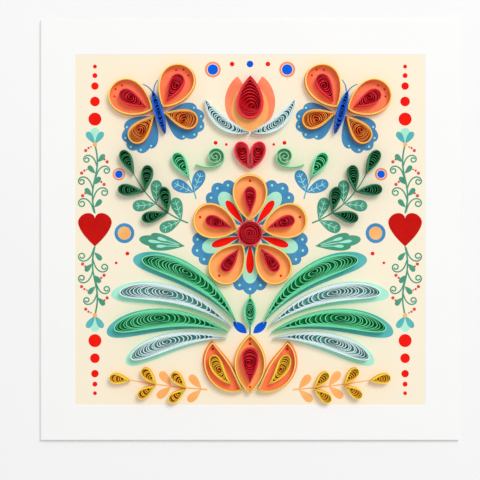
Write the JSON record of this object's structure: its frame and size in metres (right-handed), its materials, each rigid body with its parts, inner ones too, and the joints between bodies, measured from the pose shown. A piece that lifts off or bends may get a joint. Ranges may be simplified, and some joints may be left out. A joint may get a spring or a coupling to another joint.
{
  "type": "quilled paper art card",
  "caption": "Square folded card lying face up, with quilled paper flowers, leaves, plumes, a heart and butterflies standing on its pressed panel.",
  "frame": {"origin": "on the card's back face, below the middle of the picture, where the card rests", "axes": "+X to the right of the picture, +Y to its top, +Z out of its face"},
  "size_m": [0.1524, 0.1524, 0.0043],
  "materials": {
    "white_card": "uncoated white card, printed with flat colours on its panel",
    "red_paper": "coloured paper strip, edge up",
    "amber_paper": "coloured paper strip, edge up",
    "orange_paper": "coloured paper strip, edge up",
    "yellow_paper": "coloured paper strip, edge up",
    "mint_paper": "coloured paper strip, edge up",
    "sky_paper": "coloured paper strip, edge up",
    "dark_green_paper": "coloured paper strip, edge up",
    "blue_paper": "coloured paper strip, edge up"
  },
  "bodies": {
    "root": {"butterfly_left_body": "blue_paper", "butterfly_left_drop_inner": "red_paper", "butterfly_left_drop_outer": "red_paper", "butterfly_left_forewing_inner": "amber_paper", "butterfly_left_forewing_outer": "amber_paper", "butterfly_left_hindwing_inner": "orange_paper", "butterfly_left_hindwing_outer": "orange_paper", "butterfly_right_body": "blue_paper", "butterfly_right_drop_inner": "red_paper", "butterfly_right_drop_outer": "red_paper", "butterfly_right_forewing_inner": "amber_paper", "butterfly_right_forewing_outer": "amber_paper", "butterfly_right_hindwing_inner": "orange_paper", "butterfly_right_hindwing_outer": "orange_paper", "card": "white_card", "fern_left_end_leaf": "dark_green_paper", "fern_left_high_pair": "dark_green_paper", "fern_left_low_pair": "dark_green_paper", "fern_right_end_leaf": "dark_green_paper", "fern_right_high_pair": "dark_green_paper", "fern_right_low_pair": "dark_green_paper", "flower_core": "red_paper", "flower_drop_1": "red_paper", "flower_drop_2": "red_paper", "flower_drop_3": "red_paper", "flower_drop_4": "red_paper", "flower_drop_5": "red_paper", "flower_petal_1": "amber_paper", "flower_petal_2": "amber_paper", "flower_petal_3": "amber_paper", "flower_petal_4": "amber_paper", "flower_petal_5": "amber_paper", "heart": "red_paper", "lone_leaf_left": "mint_paper", "lone_leaf_right": "mint_paper", "plume_bottom_left": "sky_paper", "plume_bottom_right": "sky_paper", "plume_lower_left": "mint_paper", "plume_lower_right": "mint_paper", "plume_top_left": "mint_paper", "plume_top_right": "mint_paper", "plume_upper_left": "sky_paper", "plume_upper_right": "sky_paper", "scroll_left": "mint_paper", "scroll_right": "mint_paper", "sprig_left_high_leaves": "yellow_paper", "sprig_left_low_pair": "yellow_paper", "sprig_right_high_leaves": "yellow_paper", "sprig_right_low_pair": "yellow_paper", "stem_leaf": "mint_paper", "tulip_petal": "red_paper", "tulip_sepal_left": "sky_paper", "tulip_sepal_right": "sky_paper", "urn_drop_centre": "red_paper", "urn_drop_left": "yellow_paper", "urn_drop_right": "yellow_paper", "urn_gore_centre": "amber_paper", "urn_gore_left": "amber_paper", "urn_gore_right": "amber_paper"}
  },
  "joints": []
}
